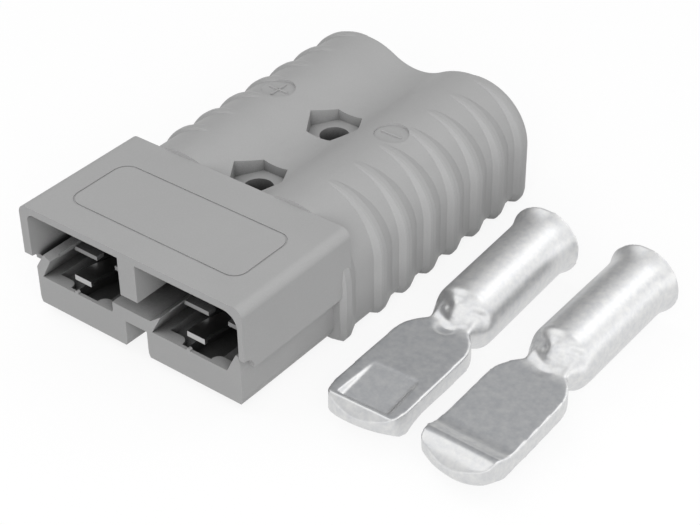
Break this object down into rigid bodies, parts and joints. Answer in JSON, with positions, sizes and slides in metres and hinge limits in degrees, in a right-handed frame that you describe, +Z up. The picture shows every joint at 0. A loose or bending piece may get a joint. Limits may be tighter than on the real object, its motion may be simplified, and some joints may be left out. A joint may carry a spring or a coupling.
{
  "type": "hermaphroditic cable connector",
  "caption": "Flat genderless two-pole battery cable connector with a hooded mating face, grip beads and loose crimp contacts.",
  "frame": {"origin": "midway between the two mounting holes, on the seating face", "axes": "+X across the mating face, +Y from the mating face to the cable end, +Z up through the mounting holes"},
  "size_m": [0.1312, 0.1145, 0.0323],
  "materials": {
    "moulded_plastic": "satin",
    "spring_steel": "satin",
    "plated_copper": "satin"
  },
  "bodies": {
    "root": {"housing": "moulded_plastic", "contact_underside_up": "plated_copper", "contact_face_up": "plated_copper"},
    "leaf_left": {"leaf_spring_left": "spring_steel"},
    "leaf_right": {"leaf_spring_right": "spring_steel"}
  },
  "joints": [
    {"name": "leaf_left_press", "type": "hinge", "parent": "root", "child": "leaf_left", "pos_m": [-0.0181, -0.0209, 0.004], "axis": [1, 0, 0], "range_deg": [0, 3], "stiffness_Nm_per_rad": 2},
    {"name": "leaf_right_press", "type": "hinge", "parent": "root", "child": "leaf_right", "pos_m": [0.0181, -0.0209, 0.004], "axis": [1, 0, 0], "range_deg": [0, 3], "stiffness_Nm_per_rad": 2}
  ]
}
